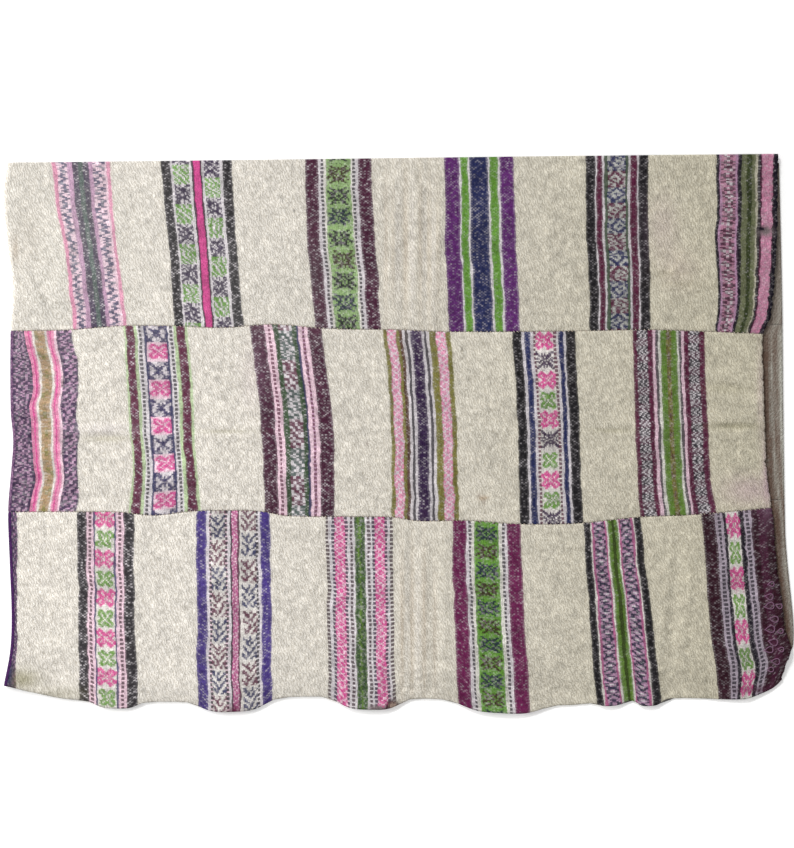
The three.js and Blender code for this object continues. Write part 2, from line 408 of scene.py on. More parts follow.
# The pink stripes at the fold waver where the cloth crumples.
CRUMPLED_LEFT = (-747, -743, -735, -731, -730, -736, -733, -732, -731, -729, -726, -733, -738)
CRUMPLED_RIGHT = (-685, -682, -675, -670, -671, -676, -672, -671, -671, -669, -669, -674, -680)
MIDDLE_BANDS = (
    charted(
        (-790, -790, -790), CRUMPLED_LEFT,
        "mauve 44 20 0 flame:deep_purple",
    ),
    charted(
        CRUMPLED_LEFT, CRUMPLED_RIGHT,
        "-rose 6, -hot_pink 3, -rose 5, -cream 5, tan 20 40 0 smear:olive, -cream 5, -rose 5, "
        "-hot_pink 2, -rose 6, -blush 4",
    ),
    charted(
        CRUMPLED_RIGHT,
        (-653, -649, -641, -639, -639, -642, -641, -637, -640, -642, -640, -638, -645),
        "mauve 34 13.2 0 tile:deep_purple",
    ),
    charted(
        (-550, -545, -541, -537, -532, -532, -539),
        (-421, -415, -411, -408, -405, -400, -395),
        "-pale_green 4, maroon 17, -pale_green 6, -white 3, ink/white 6, -white 5, -navy 4, "
        "white 42 37 -4 lattice:navy flower:hot_pink/blush, -navy 4, -white 4, ink/white 6, "
        "-white 2, -pale_green 7, maroon 18, -pale_green 5",
    ),
    charted(
        (-297, -286, -275, -271, -267), (-153, -142, -130, -127, -127),
        "plum 28, -blush 5, maroon/blush 5, -blush 6, bottle 10, "
        "white 26 57 12 swirl:teal swirl:maroon, bottle 8, -navy 4, -blush 7, maroon/mauve 5, "
        "-blush 7, plum 27",
    ),
    charted(
        (-31, -22, -15, -13, -13), (103, 110, 117, 119, 121),
        "olive 7, rose 17 13.2 0 twist:white, olive 6, brown 6, -white 5, -ink 5, -white 5, "
        "deep_purple 21, -white 5, -ink 5, -white 5, olive 13, rose 18 13.2 0 twist:white, "
        "olive 9",
    ),
    charted(
        (227, 233, 239, 241, 243), (353, 357, 361, 365, 369),
        "charcoal 18, -white 5, navy 11, -white 5, maroon/cream 5, "
        "cream 35 38.6 0 bloom:hot_pink cross:deep_purple bloom:hot_pink flower:green "
        "bloom:hot_pink cross:deep_purple flower:green bloom:hot_pink flower:green "
        "cross:deep_purple, maroon/cream 5, -white 5, navy 9, -white 4, charcoal 19",
    ),
    charted(
        (469, 470, 473, 477, 483), (611, 612, 619, 622, 635),
        "maroon 8, white 22 16.5 0 net:ink net:plum, maroon 9, -blush 6, ink 5, -cream 5, "
        "moss 12, olive 9 40 0 smear:brown, moss 12, -cream 4, ink 5, -blush 5, maroon 9, "
        "white 22 16.5 7 net:plum net:ink, maroon 11",
    ),
)
NEAR_BANDS = (
    charted(
        (-790, -790, -790), (-761, -760, -764),
        "deep_purple 29 30 0 flake:heather",
    ),
    charted(
        (-642, -640, -639, -638, -637), (-528, -528, -526, -522, -520),
        "charcoal 17, -blush 3, wine/blush 5, -blush 4, -navy 3, "
        "cream 34 37.7 -4 bloom:hot_pink flower:green, -navy 3, -blush 5, wine/blush 5, "
        "-blush 4, charcoal 19",
    ),
    charted(
        (-403, -402, -401), (-256, -254, -252),
        "blue_violet 19, -white 5, ink/blush 4, cream 27 48 8 branch:navy branch:maroon, "
        "ink/blush 4, -white 5, -ink 3, orchid 11 18 0 flake:blush, -plum 3, -cream 4, "
        "cream 28 48 -6 branch:maroon branch:navy, ink/white 4, -white 5, blue_violet 18",
    ),
    charted(
        (-146, -142, -140), (-12, -9, -6),
        "wine/cream 6, -white 5, night/white 5, hot_pink 19 13.2 0 twist:blush, "
        "night/blush 5, -white 4, wine/white 5, -white 4, moss 19 6.6 0 teeth:bottle, "
        "-white 4, wine/white 5, -white 4, night/white 5, hot_pink 18 13.2 0 twist:blush, "
        "night/blush 5, -white 4, wine/cream 6",
    ),
    charted(
        (107, 108, 111, 115, 120), (243, 247, 252, 258, 264),
        "mulberry 27, -white 5, ink/white 5, -cream 6, green 49 36 6 hook:night hook:umber, "
        "-cream 6, ink/white 5, -white 5, mulberry 28",
    ),
    charted(
        (369, 375, 381, 388, 396), (483, 493, 505, 516, 526),
        "charcoal 14, -cream 3, -orchid 4, mauve 24 13.2 0 cord:night, -orchid 3, -cream 4, "
        "moss 8, -dark_moss 6, moss 6, -cream 3, -orchid 3, mauve 24 13.2 6 cord:night, "
        "-orchid 4, -cream 3, charcoal 15",
    ),
    charted(
        (605, 612, 619, 629, 640), (764, 768, 770, 772, 784),
        "wine 25, -pearl 4, ink/pearl 6, -pearl 4, ink 6, "
        "cream 24 52.5 4 bloom:hot_pink flower:green, ink 9, -pearl 3, ink/pearl 6, -pearl 4, "
        "wine 12, plum 14, wine 14",
    ),
)
# Bands of the hidden half: x of their middles, and which band of the panel they repeat. Half
# their width is in mm, and their inner stripe is a share of them.
LOWER_BANDS = {
    "panel_far": ((-430, 2), (-110, 4), (210, 1), (520, 3)),
    "panel_middle": ((-560, 6), (-250, 3), (60, 4), (370, 3)),
    "panel_near": ((-740, 4), (-410, 1), (-90, 6), (230, 5), (520, 2)),
}
LOWER_BAND_HALF, LOWER_BAND_INNER = 66, 0.4

# A panel: its edges, the y of those edges where the lower layer ends, how far each edge keeps
# back from its neighbour, its bands and the two yarns of the one that lies round the fold.
Panel = namedtuple("Panel", "node slot far near end gap bands turn seed")
SEAM_GAP = 0.15
PANELS = (
    Panel(
        "panel_far", "wool_far", lambda x: curve(TOP_EDGE, x), lambda x: curve(UPPER_SEAM, x),
        (543, 219), (0, SEAM_GAP), FAR_BANDS, "", 11,
    ),
    Panel(
        "panel_middle", "wool_middle", lambda x: curve(UPPER_SEAM, x),
        lambda x: curve(LOWER_SEAM, x), (219, -131), (-SEAM_GAP, SEAM_GAP), MIDDLE_BANDS,
        "deep_purple mauve", 12,
    ),
    Panel(
        "panel_near", "wool_near", lambda x: curve(LOWER_SEAM, x), hem, (-131, -441),
        (-SEAM_GAP, 0), NEAR_BANDS, "deep_purple violet", 13,
    ),
)


class Weave:
    """The rug's shape, worked out from the sizes that the user sees."""

    def __init__(self, sizes):
        self.cloth = sizes.cloth / MM
        self.radius = sizes.fold_radius / MM
        self.low = self.cloth / 2
        self.high = self.cloth * 1.5 + sizes.layer_gap / MM
        self.pick = sizes.pick / MM
        self.sett = sizes.sett / MM
        self.ground_step = sizes.ground_step / MM

    def fold_x(self, panel, v):
        y = mix(panel.far(NEAR_FOLD), panel.near(NEAR_FOLD), v)
        return curve(FOLD_EDGE, y) + self.radius + self.cloth / 2

    def end_x(self, panel, v):
        return curve(UPPER_END, mix(panel.far(NEAR_END), panel.near(NEAR_END), v))

    def across(self, panel, x, v):
        return mix(panel.far(x), panel.near(x), v) + mix(panel.gap[0], panel.gap[1], v)

    def lower_hem(self, x):
        near = PANELS[-1]
        turn = float(self.fold_x(near, 1.0))
        start = float(self.across(near, turn, 1.0))
        return mix(start, near.end[1], (x - turn) / (LOWER_END[0][1] - turn))

    def relief(self, x, y, v):
        """Height of the upper layer above its resting height."""
        rise = curve(CREASE_HEIGHT, x) * bell(y - curve(CREASE_LINE, x), curve(CREASE_WIDTH, x))
        inside = np.sin(np.pi * v)
        rise = rise + PILLOW * np.sqrt(np.maximum(inside, 0) + 1e-6)
        rise += (
            SWELL
            * inside
            * (1 + np.sin(x / SWELL_ALONG) * np.cos(y / SWELL_ACROSS + x / SWELL_SLANT))
        )
        bend = RUMPLE_BEND * np.sin(y / RUMPLE_BEND_ACROSS)
        across = np.sin(y / RUMPLE_ACROSS + x / RUMPLE_SLANT)
        rise += RUMPLE * inside * np.sin(x / RUMPLE_ALONG + bend) * across
        ripple = sum(band.height * bell(x - band.x, band.half) for band in HEM_BANDS)
        rise += ripple * np.exp(-np.maximum(y - hem(x), 0) / RIPPLE_REACH)
        for w in WRINKLES:
            turn = math.radians(w.turn)
            along = (x - w.x) * math.cos(turn) + (y - w.y) * math.sin(turn)
            aside = (y - w.y) * math.cos(turn) - (x - w.x) * math.sin(turn)
            rise += w.high * bell(along, w.long) * bell(aside, w.wide)
        return rise

    def height(self, x, y, v, turn):
        """Height of the middle of the cloth in the upper layer."""
        droop = smooth(self.lower_hem(x) - y, DROOP_START, DROOP_START + DROOP_LENGTH)
        rest = mix(self.high, self.low + FLOOR_LIFT, droop)
        top = self.low + 2 * self.radius
        return mix(top, rest + self.relief(x, y, v), smooth(x - turn, 0, FOLD_SETTLES))


def to_xyz(x, y, z):
    """Points in metres in the frame, from millimetres as drawn."""
    return np.stack([x + CENTRE[0], y + CENTRE[1], z], axis=-1) * MM


def slow(rng, count, every):
    """Uneven hand work: a random value at every few picks, and a ramp between them."""
    knots = rng.normal(size=count // every + 3)
    return np.interp(np.arange(count) / every, np.arange(len(knots)), knots)


def uneven(rng, count, waves):
    """A sum of slow waves, each with its size and its spacing in picks."""
    return sum(size * slow(rng, count, every) for size, every in waves)


# A chart column in a plain line, in mm.
LINE_SETT = 4.5


def stripe_columns(stripe, weave):
    """How many chart columns a stripe takes."""
    if stripe.kind == "figured":
        return len(CHARTS[stripe.figures[0].split(":")[0]][0])
    if stripe.kind == "dotted":
        return 1
    step = weave.sett if stripe.kind == "solid" else LINE_SETT
    return max(1, round(stripe.width / step))


# Figures lean by some columns and come straight again over a few picks, and some figures
# lean more than others. The slips are the share of the marks that went wrong.
LOOSE_CHARTS = ("nest", "leaf", "strokes")
LOOSE_LEAN, FIRM_LEAN, LEAN_PICKS, SLIPS = 2.0, 0.6, 4, 0.07
MARK_SHARES = {"x": 1.0, "o": 0.5, ".": 0.0}


def figured_cells(stripe, columns, rows, pick, yarns, rng):
    """A charted column. A hand weaver slips now and then, so some marks are half tones."""
    cells = np.zeros((columns, rows, 3))
    at = ((np.arange(rows) + 0.5) * pick - stripe.start) / stripe.height
    slips = rng.uniform(0, 1, (columns, rows)) < SLIPS
    lean = slow(rng, rows, LEAN_PICKS)
    for row in range(rows):
        which = math.floor(at[row])
        chart_name, colours = stripe.figures[which % len(stripe.figures)].split(":")
        names = (colours + "/" + stripe.yarns).split("/")[:2]
        figure, back = (dye(yarns, name) for name in names)
        chart = CHARTS[chart_name]
        marks = chart[int((at[row] - which) * len(chart))]
        most = LOOSE_LEAN if chart_name in LOOSE_CHARTS else FIRM_LEAN
        shift = round(most * float(lean[row]))
        for column in range(columns):
            mark = "o" if slips[column, row] else marks[(column + shift) % len(marks)]
            if mark == "w":
                cells[column, row] = dye(yarns, "white")
            else:
                cells[column, row] = mix(back, figure, MARK_SHARES[mark])
    return cells


# The shade drifts slowly along a band and varies from cell to cell.
DRIFT, DRIFT_PICKS, CELL_SPREAD, TONES = 0.09, 13, 0.07, (0.6, 1.4)
# Of every three picks of a dotted line, two are a dot. The shares are the dot yarn's.
DOT_EVERY, DOT_PICKS, DOT_SHARE, GAP_SHARE, DOT_SPREAD = 3, 2, 1.1, 0.1, 0.08
# Specks show on dark yarn, and hardly on a pale one. Wide stripes have more at their edges.
SPECK_FADE, LEAST_SEEN, FAINT_SPECK, EDGE_SPECK, EDGED_FROM = 3.2, 0.1, 0.02, 0.12, 5
# A figured stripe's cells lean to their mean colour, and pale hairs lie over some of them.
BLUR, PALE_HAIRS = 0.12, 0.4


def stripe_cells(stripe, columns, rows, pick, specks, yarns, rng):
    """The colour of each cell of a stripe, as an array of columns by rows by 3. The specks
    say how far the pale warp shows between the picks."""
    i, j = np.meshgrid(np.arange(columns), np.arange(rows), indexing="ij")
    tone = 1 + DRIFT * slow(rng, rows, DRIFT_PICKS) + rng.normal(0, CELL_SPREAD, i.shape)
    if stripe.kind == "dotted":
        dot, ground = (dye(yarns, name) for name in stripe.yarns.split("/"))
        share = np.where(j % DOT_EVERY < DOT_PICKS, DOT_SHARE, GAP_SHARE)
        share = share + rng.normal(0, DOT_SPREAD, i.shape)
        cells = mix(ground, dot, np.clip(share, 0, 1)[..., None])
    elif stripe.kind == "line":
        cells = np.zeros((columns, rows, 3)) + dye(yarns, stripe.yarns)
    elif stripe.kind == "solid":
        base = dye(yarns, stripe.yarns)
        seen = np.clip(1 - SPECK_FADE * base.mean(), LEAST_SEEN, 1)
        fleck = np.where((i + j) % 2 == 0, specks * seen, FAINT_SPECK)
        fleck = fleck * rng.uniform(0, 1, i.shape) ** 3
        edge = ((i == 0) | (i == columns - 1)) & (j % 2 == 0)
        fleck = fleck + np.where(edge & (columns > EDGED_FROM), EDGE_SPECK, 0.0)
        cells = mix(base, dye(yarns, "white"), fleck[..., None])
    else:
        cells = figured_cells(stripe, columns, rows, pick, yarns, rng)
        cells = mix(cells, cells.mean(axis=(0, 1)), rng.uniform(0, BLUR, i.shape)[..., None])
        hairs = PALE_HAIRS * rng.uniform(0, 1, i.shape) ** 4
        cells = mix(cells, dye(yarns, "white"), hairs[..., None])
    return cells * np.clip(tone, *TONES)[..., None]


# Edges wander by hand work, in mm, as waves of a size and a spacing in picks. A stripe keeps
# at least a share of its width.
WANDER, LEAST_WIDTH = 0.8, 0.4
EDGE_WAVES, STRIPE_WAVES = ((1, 11), (0.5, 3)), ((0.7, 9), (0.4, 3))
CUT_WAVES = ((1.3, 4), (1, 2))
# Bands nearer the fold show more specks.
SPECKS_AT_FOLD, SPECKS_AT_END, SPECKS_OVER = 0.9, 0.4, (-600, 500)


def woven_band(band, weave, rows, pick, yarns, rng):
    """The fractions at which a band's columns end, pick by pick, and each cell's colour."""
    total = sum(stripe.width for stripe in band.stripes)
    specks = float(mix(SPECKS_AT_FOLD, SPECKS_AT_END, smooth(band.left[0], *SPECKS_OVER)))
    begin = np.zeros(rows + 1)
    ends, cells, at = [], [], 0.0
    for stripe in band.stripes:
        columns = stripe_columns(stripe, weave)
        cells.append(stripe_cells(stripe, columns, rows, pick, specks, yarns, rng))
        at += stripe.width
        shift = WANDER * uneven(rng, rows + 1, STRIPE_WAVES)
        if stripe is band.stripes[-1]:
            shift = np.zeros(rows + 1)
        finish = np.clip((at + shift) / total, begin + LEAST_WIDTH * stripe.width / total, 1.0)
        ends.extend(mix(begin, finish, (k + 1) / columns) for k in range(columns))
        begin = finish
    return ends, np.concatenate(cells)


# The ground turns dun over this stretch of x: darker partly as painted shade for light that
# falls off towards the cut end, partly a warmer tone. It has soft blotches and uneven fleece.
DUN_AND_SHADE_OVER = (-450, 880)
BLOTCH, BLOTCH_ALONG, BLOTCH_ACROSS, BLOTCH_BEND, BLOTCH_SLANT = 0.03, 37, 29, 61, 83
FLEECE_TONES = (0.95, 1.04)


def cream_cells(x, y, yarns, rng):
    """Undyed ground: pale towards the fold and dun towards the cut ends, where it is darker
    partly as painted shade and partly as a warmer tone.
    """
    # Painted shade and warmer tone: cream turns dun towards the cut end.
    share = smooth(x, *DUN_AND_SHADE_OVER)[..., None]
    tone = mix(dye(yarns, "cream"), dye(yarns, "dun"), share)
    along = np.sin(x / BLOTCH_ALONG + 2 * np.sin(y / BLOTCH_BEND))
    blotch = 1 + BLOTCH * along * np.cos(y / BLOTCH_ACROSS + x / BLOTCH_SLANT)
    return tone * (blotch * rng.uniform(*FLEECE_TONES, x.shape))[..., None]


# Stains, faded places and dye that ran, and painted shade and highlights along creases, ridges
# and folds, as soft spots: the middle, half length, half width, how strong and the yarn that the
# spot looks like.
Mark = namedtuple("Mark", "x y long wide share yarn")
STAINS_AND_PAINTED_SHADE = [Mark(*row) for row in (
    (167, -127, 7, 5, 0.6, "tan"), (160, -121, 3, 5, 0.5, "brown"),
    (171, -136, 4, 7, 0.4, "brown"), (176, -126, 4, 3, 0.5, "tan"),
    (-209, 447, 3, 4, 0.6, "charcoal"), (-63, -19, 2, 5, 0.6, "brown"),
    (127, 171, 2, 4, 0.5, "charcoal"), (-765, 369, 6, 24, 0.35, "tan"),
    (700, -112, 52, 30, 0.34, "mauve"), (737, -70, 9, 80, 0.5, "mauve"),
    (724, 90, 8, 90, 0.22, "mauve"), (560, 330, 40, 40, 0.06, "rose"),
    (-740, 400, 30, 60, 0.07, "tan"), (-700, 250, 50, 30, 0.05, "teal"),
    # The olive spots at (-752, -488) and (-680, -518) are painted shade where the near corner
    # bends down beside the fold.
    (-752, -488, 34, 20, 0.6, "olive"), (-680, -518, 55, 15, 0.3, "olive"),
    (-780, -480, 11, 26, 0.85, "navy"), (-329, -553, 14, 13, 0.9, "maroon"),
    # The ash, wine and putty spots at the hem near x -40 to -10 stand for the turned-under
    # underside: partly its own colour, partly painted shade.
    (-43, -550, 14, 7, 2.4, "ash"), (-12, -541, 9, 9, 2.6, "wine"),
    (-12, -542, 6, 6, 1.6, "putty"), (-24, -548, 3, 8, 1.8, "wine"),
    # The olive spots from (668, 17) to (425, 8) are painted shade in the creases across the
    # middle panel, and the white one at (-590, 12) is a painted highlight above a crease.
    (740, -510, 60, 8, 0.7, "plum"), (668, 17, 52, 7, 0.3, "olive"),
    (650, 92, 44, 9, 0.16, "olive"), (-580, -8, 46, 7, 0.36, "olive"),
    (-345, 6, 58, 4, 0.32, "olive"), (425, 8, 40, 5, 0.24, "olive"),
    (-290, 120, 25, 70, 0.12, "mauve"), (-590, 12, 50, 12, 0.4, "white"),
    # The tan and white spots from here to (70, 370) are painted shade and painted highlight
    # beside the puckered ridges of the near and far panels.
    (7, -390, 4, 150, 0.3, "tan"), (27, -390, 4, 160, 0.3, "tan"),
    (51, -380, 4, 150, 0.28, "tan"), (72, -400, 4, 120, 0.2, "tan"),
    (38, -400, 5, 150, 0.2, "white"), (17, -380, 4, 150, 0.14, "white"),
    (-25, 375, 4, 150, 0.2, "tan"), (-11, 375, 4, 130, 0.16, "tan"),
    (14, 370, 5, 150, 0.26, "tan"), (43, 380, 4, 150, 0.22, "tan"),
    (61, 370, 4, 140, 0.22, "tan"), (79, 380, 4, 130, 0.16, "tan"),
    (-1, 380, 5, 140, 0.2, "white"), (28, 370, 5, 150, 0.25, "white"),
    (52, 380, 4, 140, 0.2, "white"), (70, 370, 4, 140, 0.2, "white"),
    (733, 406, 13, 10, 1.3, "ash"), (724, 411, 7, 4, 1.6, "ink"),
    # The olive spots at (532, 322) and (570, 300) are a painted shadow along a fold of the far
    # panel.
    (527, 415, 30, 60, 0.16, "mauve"), (532, 322, 22, 9, 0.16, "olive"),
    (570, 300, 50, 8, 0.12, "olive"), (-700, 400, 190, 190, 0.2, "fog"),
    (-250, 300, 130, 130, 0.08, "fog"),
)]


def stained_and_shaded(cells, x, y, yarns):
    """The cells with stains, dye that ran, and painted shade and highlights."""
    for mark in STAINS_AND_PAINTED_SHADE:
        share = mark.share * bell(x - mark.x, mark.long) * bell(y - mark.y, mark.wide)
        share = np.minimum(share, 1.0)
        cells = mix(cells, dye(yarns, mark.yarn), share[..., None])
    return cells


# How a tuft's height spreads over the picks beside it.
STREAK = (0.1, 0.5, 0.75, 0.4, 0.1)


def nap(rng, shape):
    """Fulled wool lies in short streaks along the picks, in mm above or below the mean."""
    grain = rng.normal(size=(shape[0], shape[1] + len(STREAK) - 1))
    return sum(share * grain[:, k : k + shape[1]] for k, share in enumerate(STREAK))


def centres(grid):
    """The mean of each cell's four corners."""
    return (grid[1:, 1:] + grid[:-1, 1:] + grid[1:, :-1] + grid[:-1, :-1]) / 4


# A band that ends this near the cut end runs up to it, and two bands this near touch.
END_REACH, BANDS_TOUCH = 16, 1.5
# Grid points lie a little crooked, in mm along and in picks across.
CROOKED_ALONG, CROOKED_ACROSS, LEAST_STEP = 0.3, 0.12, 1e-3
# The nap's height in mm on the ground and on the bands, and how much it shades the wool.
GROUND_NAP, BAND_NAP, NAP_SHADE = 0.38, 0.2, 0.12
# The bands are veiled by pale hairs near the fold, and darker towards the cut end.
VEIL, VEIL_OVER = 0.03, (-700, 0)
BAND_SHADE, SHADE_OVER = 0.84, (-650, 800)


def upper_layer(panel, weave, yarns, rng):
    """The upper layer's grid of points, its cell colours and which cells are cream."""
    rows = round(float(np.mean(panel.far(0.0) - panel.near(0.0))) / weave.pick)
    pick = float(panel.far(0.0) - panel.near(0.0)) / rows
    v = np.linspace(0, 1, rows + 1)
    turn = weave.fold_x(panel, v)
    guides = [turn]
    for band in panel.bands:
        for edge in (band.left, band.right):
            places = tuple(zip(np.linspace(0, 1, len(edge)), edge))
            guides.append(curve(places, v) + WANDER * uneven(rng, rows + 1, EDGE_WAVES))
    # The cut end is ragged, but never past the solid's.
    cut = weave.end_x(panel, v) - np.abs(uneven(rng, rows + 1, CUT_WAVES))
    guides[-1] = np.where(cut - guides[-1] < END_REACH, cut - 0.5, guides[-1])
    guides.append(cut)
    columns, cells = [guides[0]], []
    for k in range(len(guides) - 1):
        # A band may run up to the fold or the cut end, but no guide crosses the next one.
        start, end = guides[k], np.maximum(guides[k + 1], guides[k] + 0.5)
        guides[k + 1] = end
        if k % 2 == 0:
            count = max(1, round(float(np.mean(end - start)) / weave.ground_step))
            ends = [(n + 1) / count for n in range(count)]
            # Two bands that touch have no undyed yarn between them.
            touch = 0 < k and np.mean(end - start) < BANDS_TOUCH
            cells.append(cells[-1][-1:] if touch else np.full((count, rows, 3), np.nan))
        else:
            ends, woven = woven_band(panel.bands[k // 2], weave, rows, pick, yarns, rng)
            cells.append(woven)
        columns.extend(mix(start, end, share) for share in ends)
    x = np.minimum(np.array(columns), cut)
    x[1:-1, 1:-1] += rng.normal(0, CROOKED_ALONG, (len(x) - 2, rows - 1))
    spread = np.arange(len(x))[:, None] * LEAST_STEP
    x = np.maximum.accumulate(x, axis=0) + spread - spread[-1]
    crooked = np.zeros_like(x)
    crooked[:, 1:-1] = rng.normal(0, CROOKED_ACROSS, (len(x), rows - 1)) / rows
    y = weave.across(panel, x, v + crooked)
    cells = np.concatenate(cells)
    cream = np.isnan(cells[..., 0])
    streaks = nap(rng, x.shape)
    plain_cloth = np.pad(cream, ((0, 1), (0, 1)), mode="edge")
    z = weave.height(x, y, v, turn) + streaks * np.where(plain_cloth, GROUND_NAP, BAND_NAP)
    middle_x, middle_y = centres(x), centres(y)
    ground = cream_cells(middle_x, middle_y, yarns, rng)
    cells = np.where(cream[..., None], ground, cells)
    if panel.turn:
        # A band that goes round the fold leaves no undyed yarn beside it.
        cream[0] = False
        cells[0] = dye(yarns, panel.turn.split()[0])
    veil = VEIL * (1 - smooth(middle_x, *VEIL_OVER)) * ~cream
    cells = mix(cells, dye(yarns, "white"), veil[..., None])
    shade = np.where(cream, 1.0, mix(1.0, BAND_SHADE, smooth(middle_x, *SHADE_OVER)))
    cells = cells * (shade * (1 + NAP_SHADE * centres(streaks)))[..., None]
    return v, turn, x, y, z, stained_and_shaded(cells, middle_x, middle_y, yarns), cream


# How far the end that sticks out goes from brown, a painted shadow of the upper layer's edge, to
# soiled grey, by its distance past the upper layer.
SHADOW_AND_SOIL = (
    (-30, 0.0), (6, 0.0), (10, 0.14), (14, 0.3), (17, 0.55), (20, 0.3), (24, 0.14), (28, 0.26),
    (32, 0.6), (36, 0.8), (44, 0.72), (60, 0.7),
)
# Grid columns of the lower layer: close at the cut end, which shows, and wide elsewhere.
CUT_END_COLUMNS = (690, 710, 722, 732, *np.arange(737, 785, 3.4))
HIDDEN_COLUMNS = np.linspace(-700, 640, 20)
BAND_COLUMNS = (0.34, 0.67, 1.0)
FOLD_STEPS, TURN_ROWS, TURN_MOTTLE = 10, 3, 0.5
# How much the painted shadow and soil hide the cloth's colour, its grain and its streaks.
# Towards the far edge it is more even.
SHADOW_AND_SOIL_SHARE, GRAIN, STREAKS, STREAK_PICKS = 0.92, 0.07, 0.1, 18
EVEN_SHADOW_AND_SOIL, EVEN_SHARE, EVEN_OVER = 0.5, 0.6, (150, 260)


def lower_layer(panel, weave, v, turn, yarns, rng):
    """The lower layer and the fold, from the cut end round to the start of the upper layer."""
    end_y = mix(panel.end[0] + panel.gap[0], panel.end[1] + panel.gap[1], v)
    start_y = weave.across(panel, turn, v)
    edges = [
        x + side * LOWER_BAND_HALF * share
        for x, _ in LOWER_BANDS[panel.node]
        for side in (-1, 1)
        for share in BAND_COLUMNS
    ]
    places = np.array([*edges, *CUT_END_COLUMNS, *HIDDEN_COLUMNS])
    fractions = (places - NEAR_FOLD) / (LOWER_END[-1][1] - NEAR_FOLD)
    stops = sorted({0.0, 1.0} | {float(s) for s in fractions if 0 < s < 1}, reverse=True)
    x, y = [], []
    for s in stops:
        row_y = mix(start_y, end_y, s)
        x.append(mix(turn, curve(LOWER_END, row_y), s))
        y.append(row_y)
    z = [np.full_like(v, weave.low)] * len(stops)
    for k in range(1, FOLD_STEPS):
        angle = math.pi * k / FOLD_STEPS
        x.append(turn - weave.radius * math.sin(angle))
        y.append(start_y)
        z.append(np.full_like(v, weave.low + weave.radius * (1 - math.cos(angle))))
    x, y, z = np.array(x), np.array(y), np.array(z)
    middle_x = centres(np.concatenate([x, turn[None]]))
    middle_y = centres(np.concatenate([y, start_y[None]]))
    cells = cream_cells(middle_x, middle_y, yarns, rng)
    cream = np.ones(cells.shape[:2], bool)
    for band_x, index in LOWER_BANDS[panel.node]:
        stripes = [s for s in panel.bands[index].stripes if s.kind == "solid"]
        inside = np.abs(middle_x - band_x) < LOWER_BAND_HALF
        inner = np.abs(middle_x - band_x) < LOWER_BAND_HALF * LOWER_BAND_INNER
        for mask, stripe in ((inside, stripes[0]), (inner, stripes[len(stripes) // 2])):
            cells = np.where(mask[..., None], dye(yarns, stripe.yarns), cells)
            cream &= ~mask
    # The end that sticks out: dark brown beside the upper layer as painted shadow of its edge,
    # then soiled grey in streaks, also darker than the ground as painted shade of the lower
    # layer.
    past = middle_x - curve(UPPER_END, middle_y)
    streak = GRAIN * rng.normal(0, 1, middle_x.shape)
    rows = middle_x.shape[1]
    streak += STREAKS * np.array([slow(rng, rows, STREAK_PICKS) for _ in range(len(cells))])
    brown_to_grey = curve(SHADOW_AND_SOIL, past) + streak
    brown_to_grey = mix(brown_to_grey, EVEN_SHADOW_AND_SOIL, EVEN_SHARE * smooth(middle_y, *EVEN_OVER))
    shadow_and_soil = mix(dye(yarns, "brown"), dye(yarns, "fog"), np.clip(brown_to_grey, 0, 1)[..., None])
    shadowed_and_soiled = np.where(middle_x > CUT_END_COLUMNS[0], SHADOW_AND_SOIL_SHARE, 0.0)
    cells = mix(cells, shadow_and_soil, shadowed_and_soiled[..., None])
    if panel.turn:
        dark, pale = (dye(yarns, name) for name in panel.turn.split())
        mottled = mix(dark, pale, rng.uniform(0.0, TURN_MOTTLE, middle_x.shape)[..., None])
        at_turn = (np.arange(len(cells)) > len(stops) - TURN_ROWS)[:, None, None]
        cells = np.where(at_turn, mottled, cells)
        cream &= ~at_turn[..., 0]
    return x, y, z, cells, cream


# How soft a cell's edge is, how thin the cloth's edge is and how many columns the inner side
# skips.
SOFT_EDGE, THIN_EDGE, INNER_EVERY = 0.3, 0.55, 7


